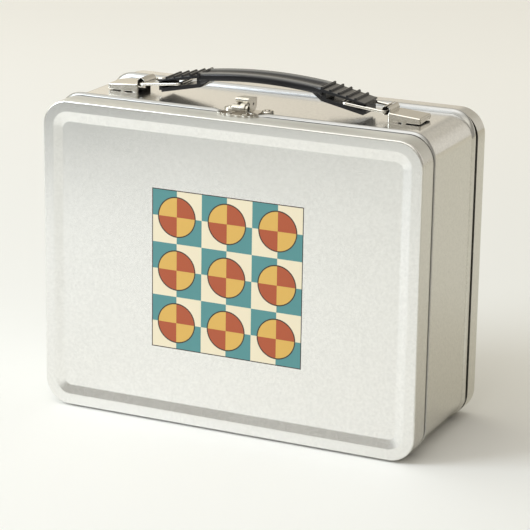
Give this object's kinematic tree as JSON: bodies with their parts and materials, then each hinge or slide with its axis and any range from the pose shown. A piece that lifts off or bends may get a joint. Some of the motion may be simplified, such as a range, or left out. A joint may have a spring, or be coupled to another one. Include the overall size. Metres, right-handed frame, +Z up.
{
  "type": "metal lunch box",
  "caption": "Rounded steel lunch box with a sunken front panel, a front lid hinged at the bottom, a claw latch on top and a low black handle that rises on wire bails.",
  "frame": {"origin": "middle of the case's footprint, on the plane that it stands on", "axes": "+X to the right seen from the front, +Y from the front lid to the back panel, +Z up"},
  "size_m": [0.216, 0.09, 0.1851],
  "materials": {
    "case_steel": "satin silver sheet with fine grain",
    "nickel_hardware": "bright nickel plate",
    "hinge_steel": "plain steel",
    "bail_wire": "bright drawn wire",
    "black_plastic": "satin black moulded plastic"
  },
  "bodies": {
    "case": {"body_band": "case_steel", "back_panel": "case_steel", "hinge_body_leaf_left": "hinge_steel", "hinge_body_leaf_right": "hinge_steel", "hinge_pin_left": "hinge_steel", "hinge_pin_right": "hinge_steel", "hinge_rivets": "hinge_steel", "handle_bracket_left": "nickel_hardware", "handle_bracket_right": "nickel_hardware", "latch_base": "nickel_hardware", "latch_base_rivets": "nickel_hardware", "latch_pin": "nickel_hardware"},
    "lid": {"front_lid": "case_steel", "hinge_lid_leaf_left": "hinge_steel", "hinge_lid_leaf_right": "hinge_steel", "latch_keeper": "nickel_hardware", "latch_keeper_rivets": "nickel_hardware"},
    "lever": {"latch_lever": "nickel_hardware"},
    "handle": {"handle_grip": "black_plastic"},
    "left_bail": {"bail_left": "bail_wire"},
    "right_bail": {"bail_right": "bail_wire"}
  },
  "joints": [
    {"name": "lid_hinge", "type": "hinge", "parent": "case", "child": "lid", "pos_m": [0, -0.0303, 0.0008], "axis": [1, 0, 0], "range_deg": [0, 110]},
    {"name": "latch_lever_pivot", "type": "hinge", "parent": "case", "child": "lever", "pos_m": [0, -0.02105, 0.1735], "axis": [-1, 0, 0], "range_deg": [0, 80]},
    {"name": "handle_lift", "type": "slide", "parent": "case", "child": "handle", "axis": [0, 0, 1], "range_m": [0, 0.0126]},
    {"name": "bail_left_swing", "type": "hinge", "parent": "case", "child": "left_bail", "pos_m": [-0.07086, 0.0022, 0.1732], "axis": [0, -1, 0], "range_deg": [0, 30.5]},
    {"name": "bail_right_swing", "type": "hinge", "parent": "case", "child": "right_bail", "pos_m": [0.07086, 0.0022, 0.1732], "axis": [0, 1, 0], "range_deg": [0, 30.5]}
  ],
  "couplings": [
    {"joint": "bail_left_swing", "follows": "handle_lift", "rad_per_m": 42.11},
    {"joint": "bail_right_swing", "follows": "handle_lift", "rad_per_m": 42.11}
  ]
}
